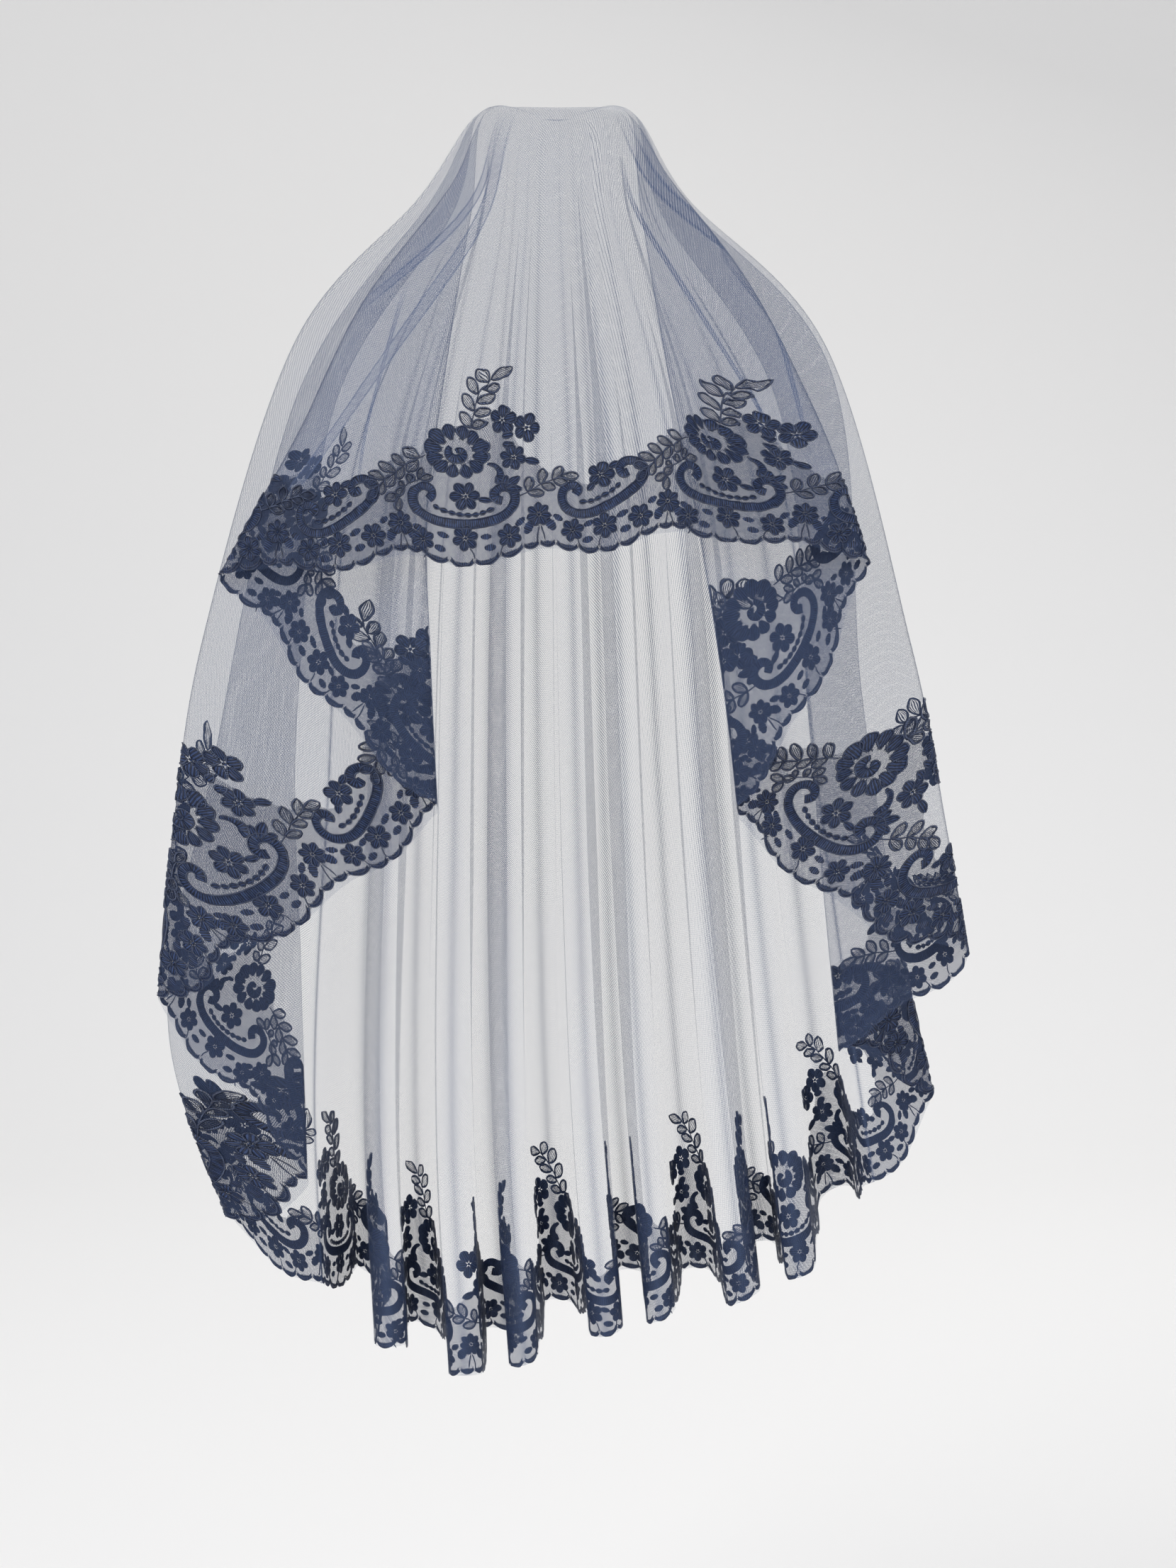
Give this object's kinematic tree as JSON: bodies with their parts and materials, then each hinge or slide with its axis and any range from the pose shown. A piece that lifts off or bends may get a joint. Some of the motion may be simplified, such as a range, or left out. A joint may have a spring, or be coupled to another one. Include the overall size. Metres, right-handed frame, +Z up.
{
  "type": "mantilla veil",
  "caption": "Oval tulle veil with a wide corded floral lace border, hanging over a head in zigzag side folds with a gathered back.",
  "frame": {"origin": "middle of the crown, on its underside, where the veil sits on the head", "axes": "+Z up, -Y to the front, where the veil ends short, +X to the right in the front view"},
  "size_m": [0.5595, 0.3452, 0.8894],
  "materials": {
    "tulle": "fine dry net, faintly sheer",
    "lace": "satin stitch with raised cords"
  },
  "bodies": {
    "root": {"tulle_veil": "tulle", "lace_border": "lace"}
  },
  "joints": []
}
